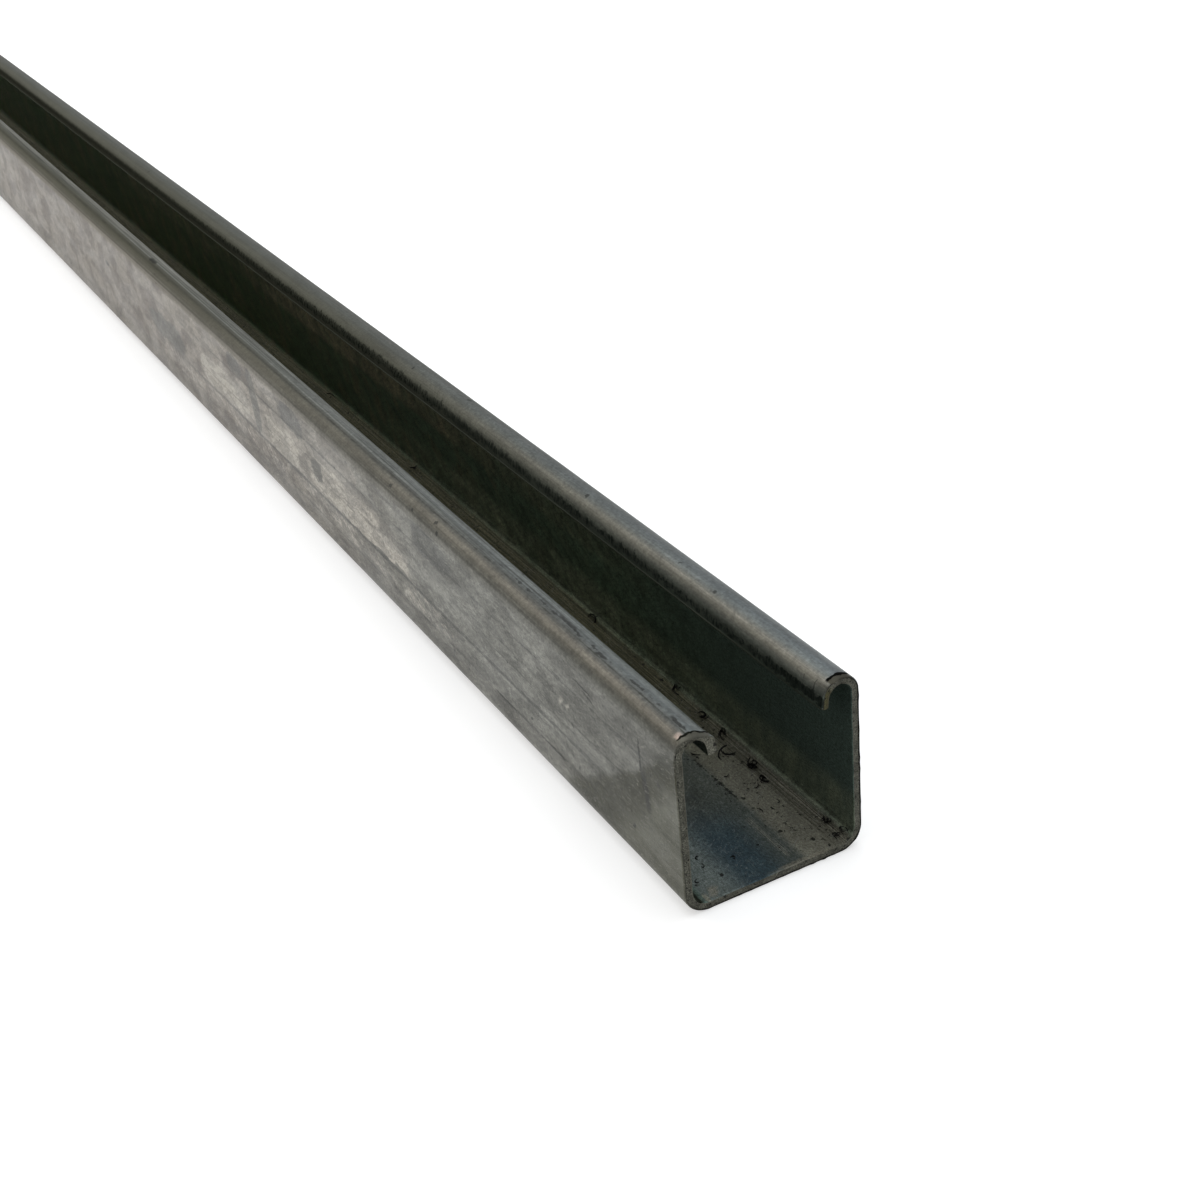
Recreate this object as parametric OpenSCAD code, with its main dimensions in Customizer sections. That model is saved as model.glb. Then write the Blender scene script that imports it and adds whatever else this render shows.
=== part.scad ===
// Lipped strut channel, cold rolled from one steel strip.
// It lies on its web with the open side up. X runs across it, Y along it, Z up.
// The origin is under the middle of the web, halfway along the length.

/* [Stock] */
// Length of the stick, a stock length of four feet
length = 1219; // [150:1:6096]
// Thickness of the rolled strip, 14 gauge
wall = 1.9; // [1.2:0.1:3]

/* [Section] */
// Width over the two side walls
width = 41.3; // [36:0.1:62]
// Height from the web's underside to the crown of the lips
height = 41.3; // [20:0.1:83]
// Inside radius of the two bends between the web and the side walls
web_bend = 3.4; // [0.8:0.1:5]
// Inside radius of the two bends that turn the strip's edges back into lips
lip_bend = 2.5; // [1.2:0.1:3.5]

/* [Lips] */
// Angle by which each lip leans from plumb towards the middle of the mouth
lip_lean = 8.5; // [0:0.5:20]
// Straight run of each lip past its bend
lip_run = 2.3; // [1:0.1:5]

/* [Hidden] */
$fn = 96;
web_bend_outside = web_bend + wall;
lip_bend_outside = lip_bend + wall;
web_run = width - 2 * web_bend_outside;
side_wall_run = height - web_bend_outside - lip_bend_outside;
lip_sweep = 180 - lip_lean;

// A straight run of strip along X, with its outer face on the X axis.
module strip_run(run) {
    square([run, wall]);
}

// A bend to the left that starts along X. Its outer face starts on the X axis.
// The ring is cut off square to the strip at both ends, for a sweep up to 180.
module strip_bend(inside, sweep) {
    outside = inside + wall;
    cut = 2 * outside;
    translate([0, outside])
        intersection() {
            difference() {
                circle(r = outside);
                circle(r = inside);
            }
            translate([0, -cut])
                square([cut, 2 * cut]);
            rotate(sweep)
                translate([-cut, -cut])
                    square([cut, 2 * cut]);
        }
}

// Places what follows a bend: at the bend's end, and turned with the strip.
module after_bend(inside, sweep) {
    outside = inside + wall;
    translate([0, outside])
        rotate(sweep)
            translate([0, -outside])
                children();
}

// One side of the section, as the strip runs on from the web: the web bend,
// the side wall, the bend over the crown and the lip.
module side_section() {
    translate([web_run / 2, 0]) {
        strip_bend(web_bend, 90);
        after_bend(web_bend, 90) {
            strip_run(side_wall_run);
            translate([side_wall_run, 0]) {
                strip_bend(lip_bend, lip_sweep);
                after_bend(lip_bend, lip_sweep)
                    strip_run(lip_run);
            }
        }
    }
}

// The whole stick: the section carried along Y, with both ends sawn square.
module channel() {
    color("#9a9b93")
        rotate([90, 0, 0])
            linear_extrude(height = length, center = true) {
                translate([-web_run / 2, 0])
                    strip_run(web_run);
                side_section();
                mirror([1, 0])
                    side_section();
            }
}

channel();
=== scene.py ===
"""A length of lipped strut channel, rolled from mill-galvanised strip and sawn off, lying on its web."""

import bmesh
import bpy
import numpy as np
from mathutils import Matrix, Vector


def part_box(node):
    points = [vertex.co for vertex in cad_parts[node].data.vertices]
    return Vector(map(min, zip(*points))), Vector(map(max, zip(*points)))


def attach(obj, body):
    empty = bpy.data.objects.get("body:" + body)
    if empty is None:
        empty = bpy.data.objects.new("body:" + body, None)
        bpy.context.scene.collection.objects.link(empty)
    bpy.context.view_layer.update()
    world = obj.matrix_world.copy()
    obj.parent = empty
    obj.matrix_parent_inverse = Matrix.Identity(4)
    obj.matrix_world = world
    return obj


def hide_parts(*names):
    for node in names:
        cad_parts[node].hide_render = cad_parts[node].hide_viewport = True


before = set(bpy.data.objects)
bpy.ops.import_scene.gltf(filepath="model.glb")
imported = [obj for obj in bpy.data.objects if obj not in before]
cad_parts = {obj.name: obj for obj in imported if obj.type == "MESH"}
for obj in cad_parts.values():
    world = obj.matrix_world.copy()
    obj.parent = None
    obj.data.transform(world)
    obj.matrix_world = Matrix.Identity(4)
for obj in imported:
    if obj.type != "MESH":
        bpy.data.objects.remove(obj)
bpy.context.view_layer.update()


# ---- The channel ---------------------------------------------------------------------------------
# One strip of galvanised steel, 1.9 mm thick, rolled cold into a web, two side walls and two lips
# that turn back down into the slot. It was cut to length with a saw, which left burrs on both ends.

MM = 0.001
low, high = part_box("channel")
width = high.x - low.x
height = high.z - low.z
wall = 1.9 * MM
web_bend = 3.4 * MM
lip_bend = 2.5 * MM
lip_lean = 8.5
lip_turn = np.radians(180 - lip_lean)
lip_run = 2.3 * MM
corner_turn = np.radians(90)
half_wall = wall / 2
skin_clearance = 0.02 * MM
groove_zone = 5 * MM
slit_round = 0.3 * MM

side_run = height - web_bend - lip_bend - 2 * wall
web_run = width - 2 * (web_bend + wall)

# Each stretch of the strip, from the left lip's edge: its length on the middle line, its turn, its steps.
lip_stretches = [
    (lip_run, 0, 4),
    ((lip_bend + half_wall) * lip_turn, lip_turn, 24),
    (side_run, 0, 24),
    ((web_bend + half_wall) * corner_turn, corner_turn, 24),
]
stretches = lip_stretches + [(web_run - groove_zone, 0, 30), (groove_zone, 0, 20)] + lip_stretches[::-1]
stretch_ends = np.concatenate([[0], np.cumsum([length for length, turn, steps in stretches])])
left_lip_heading = np.radians(90 + lip_lean)
headings = left_lip_heading + np.concatenate([[0], np.cumsum([turn for length, turn, steps in stretches])])
strip_length = stretch_ends[-1]
around = np.concatenate(
    [np.linspace(start, start + length, steps, endpoint=False)
     for start, (length, turn, steps) in zip(stretch_ends, stretches)] + [[strip_length]])


def middle_line(distance):
    """Heading, x and z of the strip's middle line at rising distances from the left lip's edge.
    The heading runs evenly along each stretch. A step is the chord of its arc: its length times
    sin(half the turn) over half the turn, laid along the mean of its two headings."""
    heading = np.interp(distance, stretch_ends, headings)
    half_turn = np.diff(heading) / 2
    chord = np.diff(distance) * np.sinc(half_turn / np.pi)
    mean = heading[:-1] + half_turn
    x = np.concatenate([[0], np.cumsum(chord * np.cos(mean))])
    z = np.concatenate([[0], np.cumsum(chord * np.sin(mean))])
    x += (low.x + high.x) / 2 - (x[0] + x[-1]) / 2
    z += low.z + half_wall - z.min()
    return heading, x, z


strip_heading, strip_x, strip_z = middle_line(around)

# Stations along the channel: close together at the saw cuts, about 8.5 mm apart between them.
cut_recess = 0.28 * MM
first_step = 0.1 * MM
step_growth = 1.12
longest_step = 8 * MM
station_count = 204
growing = first_step * step_growth ** np.arange(station_count)
steps_along = np.minimum(np.minimum(growing, growing[::-1]), longest_step)
run_along = high.y - low.y - 2 * cut_recess
gone_along = np.concatenate([[0], np.cumsum(steps_along)])
stations = low.y + cut_recess + gone_along * run_along / steps_along.sum()


def ripple(a, b, sizes, seed):
    """Smooth random relief from -1 to 1: the mean of plane waves of the given lengths, two to each
    length, crossing at directions and phases that the seed draws."""
    draw = np.random.default_rng(seed)
    total = np.zeros(np.broadcast(a, b).shape)
    for size in np.repeat(sizes, 2):
        direction, phase = draw.uniform(0, 2 * np.pi, 2)
        across = a * np.cos(direction) + b * np.sin(direction)
        total += np.sin(2 * np.pi * across / size + phase)
    return total / (2 * len(sizes))


def smooth_step(value, start, end):
    """0 before start, 1 after end, and a level-ended cubic between them."""
    t = np.clip((value - start) / (end - start), 0, 1)
    return t * t * (3 - 2 * t)


groove_pitch = 0.85 * MM
groove_depth = 0.03 * MM
groove_middle = strip_length / 2 + web_run / 2 + 0.9 * MM
groove_reach = 3.3 * MM
roll_wave = 0.04 * MM
knock_depth = 0.12 * MM


def inside_relief(place, along):
    """How far the inner skin stands in towards the hollow: long shallow waves from the rolls, and a
    few cosine grooves beside the right corner, which fade out at the sides of their zone."""
    waves = roll_wave * ripple(place, along, [31 * MM, 83 * MM, 190 * MM], 3)
    off = (place - groove_middle) / groove_reach
    zone = 1 - smooth_step(np.abs(off), 0.7, 1.0)
    grooves = groove_depth * np.cos(2 * np.pi * (place - groove_middle) / groove_pitch)
    worn = 1 + 0.4 * ripple(place * 0, along, [55 * MM, 140 * MM], 5)
    return waves - zone * worn * (groove_depth - grooves)


def outside_relief(place, along):
    """How far the outer skin stands out from its true place. It always lies a little below it, so
    that it keeps inside the true size, by long shallow waves from the rolls and by knocks."""
    waves = ripple(place, along, [37 * MM, 71 * MM, 160 * MM], 7)
    knocks = smooth_step(ripple(place, along, [13 * MM, 19 * MM, 29 * MM, 23 * MM], 8), 0.55, 0.95)
    return -skin_clearance - roll_wave * (1 + waves) - knock_depth * knocks


edge_round = 0.14 * MM
crown_break = 0.7 * MM
crown_break_run = 1.0 * MM
crown_press = 0.55 * MM
crown_press_run = 4 * MM
lip_swell = 0.5 * MM
lip_swell_run = 3 * MM


def edge_inset(place, along, outer):
    """How far a skin draws in at a saw cut: a small round all along it, and over the outside of each
    lip's crown a broken edge. At the near cut the saw also pushed the left lip's end out towards the
    slot and pressed its crown flat, and rubbed the right lip thin. Each is a depth times a power of
    the share of its run that is left, which is 1 at the cut and 0 at the run's end."""
    from_near = along - stations[0]
    from_cut = np.minimum(from_near, stations[-1] - along)
    rounded = edge_round * np.clip(1 - from_cut / edge_round, 0, 1) ** 2
    from_slit = np.minimum(place, strip_length - place)
    on_left = place < strip_length / 2
    crown_start = np.where(on_left, 3.2 * MM, 5.0 * MM)
    crown = smooth_step(from_slit, crown_start, crown_start + 0.9 * MM)
    crown = crown - smooth_step(from_slit, 7.5 * MM, 10 * MM)
    uneven = 0.75 + 0.25 * ripple(place, along * 0, [2.3 * MM, 5.1 * MM], 9)
    broken = crown_break * crown * uneven * np.clip(1 - from_cut / crown_break_run, 0, 1) ** 0.8
    lip_end = 1 - smooth_step(from_slit, 3.4 * MM, 5.8 * MM)
    pushed = lip_end * lip_swell * np.clip(1 - from_near / lip_swell_run, 0, 1) ** 2
    top = smooth_step(from_slit, 3.6 * MM, 5.4 * MM) - smooth_step(from_slit, 8 * MM, 10 * MM)
    pressed = top * crown_press * np.clip(1 - from_near / crown_press_run, 0, 1) ** 2
    return rounded + outer * (broken + np.where(on_left, pressed - pushed, 0.7 * pushed))


burr_height = 0.26 * MM
saw_mark = 0.025 * MM


def cut_lift(place, through, seed):
    """How far a saw cut stands out from its mean plane: slanting saw marks across the face, and at
    each skin a torn burr made of narrow random teeth."""
    marks = saw_mark * ripple(place, through * half_wall * 3, [0.9 * MM, 1.7 * MM, 3.1 * MM], seed)
    teeth = ripple(place, through * half_wall, [0.9 * MM, 1.6 * MM, 2.9 * MM, 6.7 * MM], seed + 1)
    burr = burr_height * (0.25 + 0.75 * smooth_step(teeth, -0.1, 0.7))
    return np.where(np.abs(through) > 0.999, burr, marks)


def steel(place, through, along):
    """A point of the channel, as an array of x, y, z, from three strip coordinates: place along
    the section's middle line, through the wall from -1 on the inner skin to 1 on the outer skin,
    and along the channel. The skins' relief moves it square to the middle line, the slit edges are
    rounded by a circle, and the two cuts lift it along the channel."""
    place, through, along = np.broadcast_arrays(place, through, along)
    heading = np.interp(place, around, strip_heading)
    x = np.interp(place, around, strip_x)
    z = np.interp(place, around, strip_z)
    outer = half_wall + outside_relief(place, along) - edge_inset(place, along, 1)
    inner = half_wall + inside_relief(place, along) - edge_inset(place, along, 0)
    offset = (outer - inner) / 2 + through * (outer + inner) / 2
    corner = np.clip((np.abs(through) * half_wall - half_wall + slit_round) / slit_round, 0, 1)
    pull = slit_round * (1 - np.sqrt(1 - corner ** 2))
    shift = np.where(place == 0, pull, np.where(place == strip_length, -pull, 0))
    lift_near = np.where(along == stations[0], cut_lift(place, through, 11), 0)
    lift_far = np.where(along == stations[-1], cut_lift(place, through, 17), 0)
    return np.stack([
        x + offset * np.sin(heading) + shift * np.cos(heading),
        along - lift_near + lift_far,
        z - offset * np.cos(heading) + shift * np.sin(heading)], axis=-1)


# The section's outline: the outer skin, the right slit edge, the inner skin and the left slit edge.
wall_levels = np.array([-1, -0.86, -0.6, 0, 0.6, 0.86, 1])
ring_place = np.concatenate([
    around, np.full(len(wall_levels) - 2, strip_length), around[::-1], np.zeros(len(wall_levels) - 2)])
ring_through = np.concatenate([
    np.ones(len(around)), wall_levels[-2:0:-1], -np.ones(len(around)), wall_levels[1:-1]])


def grid_faces(rows, columns, closed):
    """Quads of a grid of points stored row by row. A closed grid joins its last column to its first.
    The corners go down the rows first, which makes the outer skin's quads point outwards."""
    index = np.arange(rows * columns).reshape(rows, columns)
    beside = np.roll(index, -1, axis=1)
    if not closed:
        index, beside = index[:, :-1], beside[:, :-1]
    return np.stack([index[:-1], index[1:], beside[1:], beside[:-1]], axis=-1).reshape(-1, 4)


def strip_mesh(name, sheets):
    """One mesh from several grids of (place, through, along, faces, finish): their points come from
    steel(), the seams between them are merged, and each point keeps its strip coordinates, in
    millimetres from the near cut, from the middle of the web, and from the middle of the wall."""
    points, strips, faces, finishes, start = [], [], [], [], 0
    for place, through, along, quads, finish in sheets:
        place, through, along = np.broadcast_arrays(place, through, along)
        points.append(steel(place, through, along).reshape(-1, 3))
        strip = np.stack([along - stations[0], place - strip_length / 2, through * half_wall], axis=-1)
        strips.append(strip.reshape(-1, 3) / MM)
        faces.append(quads + start)
        finishes.append(np.broadcast_to(finish, len(quads)))
        start += place.size
    mesh = bpy.data.meshes.new(name)
    mesh.from_pydata(np.concatenate(points), [], np.concatenate(faces))
    mesh.polygons.foreach_set("material_index", np.concatenate(finishes).astype(np.int32))
    stored = mesh.attributes.new("strip", "FLOAT_VECTOR", "POINT")
    stored.data.foreach_set("vector", np.concatenate(strips).astype(np.float32).ravel())
    work = bmesh.new()
    work.from_mesh(mesh)
    bmesh.ops.remove_doubles(work, verts=work.verts, dist=0.001 * MM)
    work.to_mesh(mesh)
    work.free()
    return mesh


OUTSIDE, INSIDE, SLIT, SAWN = range(4)
ring_size = len(ring_place)
skin_finish = np.full(ring_size, SLIT)
skin_finish[:len(around) - 1] = OUTSIDE
inner_start = len(around) + len(wall_levels) - 2
skin_finish[inner_start:inner_start + len(around) - 1] = INSIDE
skin_quads = grid_faces(len(stations), ring_size, closed=True)
cut_quads = grid_faces(len(around), len(wall_levels), closed=False)
channel_mesh = strip_mesh("channel_steel", [
    (ring_place, ring_through, stations[:, None], skin_quads, np.tile(skin_finish, len(stations) - 1)),
    (around[:, None], wall_levels, stations[0], cut_quads[:, ::-1], SAWN),
    (around[:, None], wall_levels, stations[-1], cut_quads, SAWN),
])
channel_mesh.shade_smooth()
channel_mesh.set_sharp_from_angle(angle=np.radians(38))

# The rows of the channel's own map: where each starts in the square and how much of it each takes.
# They are the outer skin up to the fold and past it, the inner skin the same, and the two saw cuts.
row_starts = np.array([0.004, 0.626, 0.320, 0.797, 0.957, 0.981])
row_heights = np.array([0.31, 0.165, 0.30, 0.155, 0.018, 0.015])
map_margin = 0.004
detailed_run = 300.0


def read(items, name, kind, width=1):
    """One property of every item of a mesh, as one flat array."""
    values = np.empty(len(items) * width, kind)
    items.foreach_get(name, values)
    return values


def lay_flat(mesh):
    """Gives the channel a map of its whole surface on one square, for a picture made of its finish.
    The skins are folded once, and the run up to the fold is drawn larger. A row runs along the
    channel, or across the strip at a saw cut. The slit edges continue the outer skin."""
    strip = read(mesh.attributes["strip"].data, "vector", np.float32, 3).reshape(-1, 3)
    along, across, through = strip[read(mesh.loops, "vertex_index", np.int32)].T
    corners = read(mesh.polygons, "loop_total", np.int32)
    face = np.repeat(np.arange(len(corners)), corners)
    finish = read(mesh.polygons, "material_index", np.int32)[face]
    from_near = (stations - stations[0]) / MM
    fold = from_near[np.argmin(np.abs(from_near - detailed_run))]
    past = (np.bincount(face, along) / corners)[face] > fold
    lengthwise = np.where(past, (along - fold) / (from_near[-1] - fold), along / fold)
    half_strip, wall_mm = strip_length / 2 / MM, wall / MM
    crosswise = 0.5 + across / (2 * half_strip)
    round_edge = across + np.sign(across) * (wall_mm / 2 - through)
    kind = np.select([finish == SAWN, finish == INSIDE], [2, 1], 0)
    upwards = np.select([kind == 2, kind == 1], [0.5 + through / wall_mm, crosswise],
                        0.5 + round_edge / (2 * (half_strip + wall_mm)))
    onwards = np.where(kind == 2, crosswise, lengthwise)
    row = 2 * kind + past
    place = np.stack([map_margin + (1 - 2 * map_margin) * onwards,
                      row_starts[row] + row_heights[row] * upwards], axis=-1)
    laid = mesh.uv_layers.new(name="OFBake", do_init=False)
    laid.uv.foreach_set("vector", place.astype(np.float32).ravel())


def shown(name, data):
    """A new object in the scene, at the origin, that holds a mesh, a lamp or a camera."""
    made = bpy.data.objects.new(name, data)
    bpy.context.scene.collection.objects.link(made)
    return made


lay_flat(channel_mesh)
channel_steel = shown("channel_steel", channel_mesh)


def tone(red, green, blue):
    """A colour from display steps of 0 to 255, as the linear values that a shader takes."""
    step = np.array([red, green, blue]) / 255
    linear = np.where(step <= 0.04045, step / 12.92, ((step + 0.055) / 1.055) ** 2.4)
    return (*linear, 1.0)


def feed(node, **inputs):
    """Gives a node its inputs, each a value or another node's output. An input goes by its socket's
    name, with underscores for spaces, or by _0, _1 and so on for its place."""
    for name, value in inputs.items():
        socket = node.inputs[int(name[1:])] if name[0] == "_" else node.inputs[name.replace("_", " ")]
        if isinstance(value, bpy.types.NodeSocket):
            node.id_data.links.new(value, socket)
        else:
            socket.default_value = value


def put(kind, settings=(), tree=None, **inputs):
    """A shader node, in the tree that its inputs come from, or in the tree given if they are all
    plain values."""
    linked = [value for value in inputs.values() if isinstance(value, bpy.types.NodeSocket)]
    node = (tree or linked[0].id_data).nodes.new("ShaderNode" + kind)
    for name, value in dict(settings).items():
        setattr(node, name, value)
    feed(node, **inputs)
    return node


def maths(operation, a, b=0.0):
    """The output of one Math node."""
    return put("Math", {"operation": operation}, _0=a, _1=b).outputs[0]


def plus(a, b):
    """One number and another."""
    return maths("ADD", a, b)


def minus(a, b):
    """One number less another."""
    return maths("SUBTRACT", a, b)


def divided(a, b):
    """One number divided by another."""
    return maths("DIVIDE", a, b)


def vector_maths(operation, **inputs):
    """The output of one Vector Math node."""
    return put("VectorMath", {"operation": operation}, **inputs).outputs[0]


def joined(x, y, z=0.0):
    """A vector from three numbers."""
    return put("CombineXYZ", X=x, Y=y, Z=z).outputs[0]


def split(vector):
    """The three numbers of a vector."""
    return put("SeparateXYZ", Vector=vector).outputs


def rotated(place, angle):
    """A place turned in the plane of the skin."""
    return put("VectorRotate", {"rotation_type": "Z_AXIS"}, Vector=place, Angle=angle).outputs[0]


def fade(value, start, end):
    """0 at start, 1 at end and smooth between: a Map Range node. Start may be above end."""
    settings = {"interpolation_type": "SMOOTHSTEP"}
    return put("MapRange", settings, Value=value, From_Min=start, From_Max=end).outputs[0]


def mix(factor, a, b):
    """Two colours mixed by a factor."""
    return put("Mix", {"data_type": "RGBA"}, _0=factor, _6=a, _7=b).outputs[2]


def blend(factor, a, b):
    """Two numbers mixed by a factor."""
    return put("Mix", {"data_type": "FLOAT"}, _0=factor, _2=a, _3=b).outputs[0]


def times(value, *factors):
    """The product of numbers. A product of masks is 1 only where they all are."""
    for factor in factors:
        value = maths("MULTIPLY", value, factor)
    return value


def window(value, start, end, soft):
    """1 between start and end, and 0 a soft way outside them."""
    return times(fade(value, start - soft, start), fade(value, end + soft, end))


def paint(colour, *coats):
    """A colour with coats laid over it in turn. Each is a mask, the share of the coat that shows
    where the mask is 1, and the coat's colour."""
    for mask, share, over in coats:
        colour = mix(times(mask, share), colour, over)
    return colour


def scaled(vector, factor):
    """A colour or a place times one factor."""
    return vector_maths("SCALE", _0=vector, Scale=factor)


def swing(value, amount):
    """A noise about 0.5 turned into a factor about 1 that swings by the amount."""
    return put("Math", {"operation": "MULTIPLY_ADD"}, _0=value, _1=amount, _2=1 - amount / 2).outputs[0]


def ramp(value, *stops):
    """A colour that runs with a value through stops in rising order, each a value and a tone."""
    first, span = stops[0][0], stops[-1][0] - stops[0][0]
    unit = divided(minus(value, first), span)
    node = put("ValToRGB", Fac=unit)
    elements = node.color_ramp.elements
    elements.remove(elements[1])
    elements[0].position, elements[0].color = 0.0, tone(*stops[0][1:])
    for at, *steps in stops[1:]:
        elements.new((at - first) / span).color = tone(*steps)
    return node.outputs["Color"]


def noise(place, scale=1.0, detail=2.0, roughness=0.5, distortion=0.0):
    """A fractal noise value about 0.5 at a place."""
    return put("TexNoise", Vector=place, Scale=scale, Detail=detail, Roughness=roughness,
               Distortion=distortion).outputs["Fac"]


def stretched(place, along, around_it, turn=0.0):
    """Strip coordinates turned in the plane of the skin, and then divided by a size along and a size
    around, so that one unit of noise has that size."""
    return vector_maths("DIVIDE", _0=rotated(place, turn), _1=(along, around_it, 1.0))


def jittered(place, *shakes):
    """A place moved by noises at that place, each by up to about half its reach."""
    moved = place
    for reach, scale in shakes:
        shaken = put("TexNoise", Vector=place, Scale=scale, Detail=3.0).outputs["Color"]
        shaken = vector_maths("SUBTRACT", _0=shaken, _1=(0.5, 0.5, 0.5))
        moved = vector_maths("MULTIPLY_ADD", _0=shaken, _1=(reach, reach, 0.0), _2=moved)
    return moved


def new_group(name, results, **inputs):
    """An empty shader node group, its inputs by name, and its output node. A tuple is a vector input,
    with its first value, and a number is a plain one. The results are numbers."""
    group = bpy.data.node_groups.new(name, "ShaderNodeTree")
    for title, value in inputs.items():
        kind = "NodeSocketVector" if isinstance(value, tuple) else "NodeSocketFloat"
        made = group.interface.new_socket(title.replace("_", " "), in_out="INPUT", socket_type=kind)
        made.default_value = value
    for title in results:
        group.interface.new_socket(title, in_out="OUTPUT", socket_type="NodeSocketFloat")
    return group, group.nodes.new("NodeGroupInput").outputs, group.nodes.new("NodeGroupOutput")


def use(group, **inputs):
    """The outputs of a node group placed in a tree, with its own values."""
    return put("Group", {"node_tree": group}, **inputs).outputs


anywhere = (0.0, 0.0, 0.0)

# Rolled grain: fine lines along the strip, in two widths, whose strength comes and goes.
rolled_grain, given, result = new_group(
    "rolled grain", ["Lines"], Place=anywhere, Line_width=0.5, Line_length=60.0)
line_size = joined(given["Line length"], given["Line width"], 1.0)
line_place = vector_maths("DIVIDE", _0=given["Place"], _1=line_size)
coarse = noise(line_place, detail=3.0, roughness=0.6)
fine = noise(line_place, 3.7, detail=2.0, roughness=0.6)
feed(result, Lines=blend(0.5, coarse, fine))

# Zinc mottle: the cloudy patches of worn zinc, flakes with sharp sides, short slanting feathers, a
# fine crystal grit, and crisp flecks as small as the grit.
zinc_mottle, given, result = new_group(
    "zinc mottle", ["Patches", "Flakes", "Feathers", "Grit", "Flecks"],
    Place=anywhere, Patch_size=12.0, Patch_length=1.0, Feather_size=2.0, Grit_size=1.1)
long_place = vector_maths("DIVIDE", _0=given["Place"], _1=joined(given["Patch length"], 1.0, 1.0))
patch_place = scaled(long_place, divided(1.0, given["Patch size"]))
feather_place = stretched(given["Place"], 5.0, 1.0, turn=np.radians(27))
feather_place = scaled(feather_place, divided(1.0, given["Feather size"]))
grit_place = scaled(stretched(given["Place"], 1.5, 1.0), divided(1.0, given["Grit size"]))
flakes = noise(patch_place, 2.3, detail=4.0, roughness=0.6, distortion=0.6)
flecks = noise(grit_place, 1.7, detail=2.0, roughness=0.75)
feed(result, Patches=noise(patch_place, detail=5.0, roughness=0.68, distortion=0.2),
     Flakes=fade(flakes, 0.47, 0.53),
     Feathers=noise(feather_place, detail=4.0, roughness=0.6, distortion=0.4),
     Grit=noise(grit_place, detail=4.0, roughness=0.8), Flecks=fade(flecks, 0.42, 0.58))

# Dirt specks: small dark pits and crumbs of dirt at random, each of its own size.
dirt_specks, given, result = new_group(
    "dirt specks", ["Mask"], Place=anywhere, Spacing=6.0, Size=0.16, Share=0.4)
cells = put("TexVoronoi", Vector=jittered(given["Place"], (1.4, 1.3)),
            Scale=divided(1.0, given["Spacing"])).outputs
chosen = put("SeparateColor", Color=cells["Color"]).outputs
radius = times(given["Size"], plus(chosen[1], 0.35))
spot = fade(minus(radius, cells["Distance"]), -0.02, 0.03)
feed(result, Mask=times(spot, maths("LESS_THAN", chosen[0], given["Share"])))

# Ragged band: a stripe along the strip, from its middle and half width, with torn sides.
ragged_band, given, result = new_group(
    "ragged band", ["Mask"], Place=anywhere, Middle=0.0, Half_width=1.0, Softness=0.3, Raggedness=0.4,
    Tooth_length=2.0)
along, across, _ = split(given["Place"])
tooth_place = joined(divided(along, given["Tooth length"]), times(across, 0.3), given["Half width"])
teeth_noise = noise(tooth_place, detail=4.0, roughness=0.7)
tooth = times(minus(teeth_noise, 0.5), given["Raggedness"])
off_middle = maths("ABSOLUTE", minus(across, given["Middle"]))
inside_by = plus(minus(given["Half width"], off_middle), tooth)
feed(result, Mask=fade(inside_by, 0.0, given["Softness"]))

# Hairlines: thin broken scratches at a slant to the strip.
hairlines, given, result = new_group(
    "hairlines", ["Mask"], Place=anywhere, Slant=0.4, Spacing=4.0, Share=0.5)
slanted = rotated(given["Place"], given["Slant"])
hair_size = joined(times(given["Spacing"], 7.0), given["Spacing"], 1.0)
hair_place = vector_maths("DIVIDE", _0=slanted, _1=hair_size)
ridge = noise(hair_place, detail=3.0, roughness=0.7, distortion=0.3)
crest = maths("ABSOLUTE", minus(ridge, 0.5))
here = noise(slanted, divided(0.6, given["Spacing"]), detail=1.0)
least = minus(0.8, times(given["Share"], 0.6))
present = fade(minus(here, least), -0.04, 0.06)
feed(result, Mask=times(fade(crest, 0.014, 0.0), present))

# Worn mark: one rounded block or spot at its own place on the strip, turned by an angle.
worn_mark, given, result = new_group(
    "worn mark", ["Mask"], Place=anywhere, Middle=anywhere, Half_size=(1.0, 1.0, 1.0), Turn=0.0,
    Softness=0.4)
off = vector_maths("SUBTRACT", _0=given["Place"], _1=given["Middle"])
turned = rotated(off, times(given["Turn"], -1.0))
lengthwise, crosswise, _ = split(vector_maths("DIVIDE", _0=turned, _1=given["Half size"]))
cubes = [maths("POWER", maths("ABSOLUTE", way), 3.0) for way in (lengthwise, crosswise)]
reach = maths("POWER", plus(*cubes), 1 / 3)
feed(result, Mask=fade(minus(1.0, reach), 0.0, given["Softness"]))


def new_finish(name):
    """A material, and its Principled shader."""
    material = bpy.data.materials.new(name)
    material.use_nodes = True
    return material, material.node_tree.nodes["Principled BSDF"]


def strip_place(shader):
    """The strip coordinates of the piece that a shader is on."""
    return put("Attribute", {"attribute_name": "strip"}, tree=shader.id_data).outputs["Vector"]


def bump(height, distance):
    """The normal of a surface with a height; the distance is in metres."""
    return put("Bump", Height=height, Distance=distance).outputs[0]


def band(place, middle, half_width, softness, raggedness, tooth_length):
    """The mask of one ragged band."""
    return use(ragged_band, Place=place, Middle=middle, Half_width=half_width, Softness=softness,
               Raggedness=raggedness, Tooth_length=tooth_length)["Mask"]


def specks(place, spacing, size, share):
    """The mask of dirt specks."""
    return use(dirt_specks, Place=place, Spacing=spacing, Size=size, Share=share)["Mask"]


def hairs(place, slant, spacing, share):
    """The mask of hairlines."""
    return use(hairlines, Place=place, Slant=slant, Spacing=spacing, Share=share)["Mask"]


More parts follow.
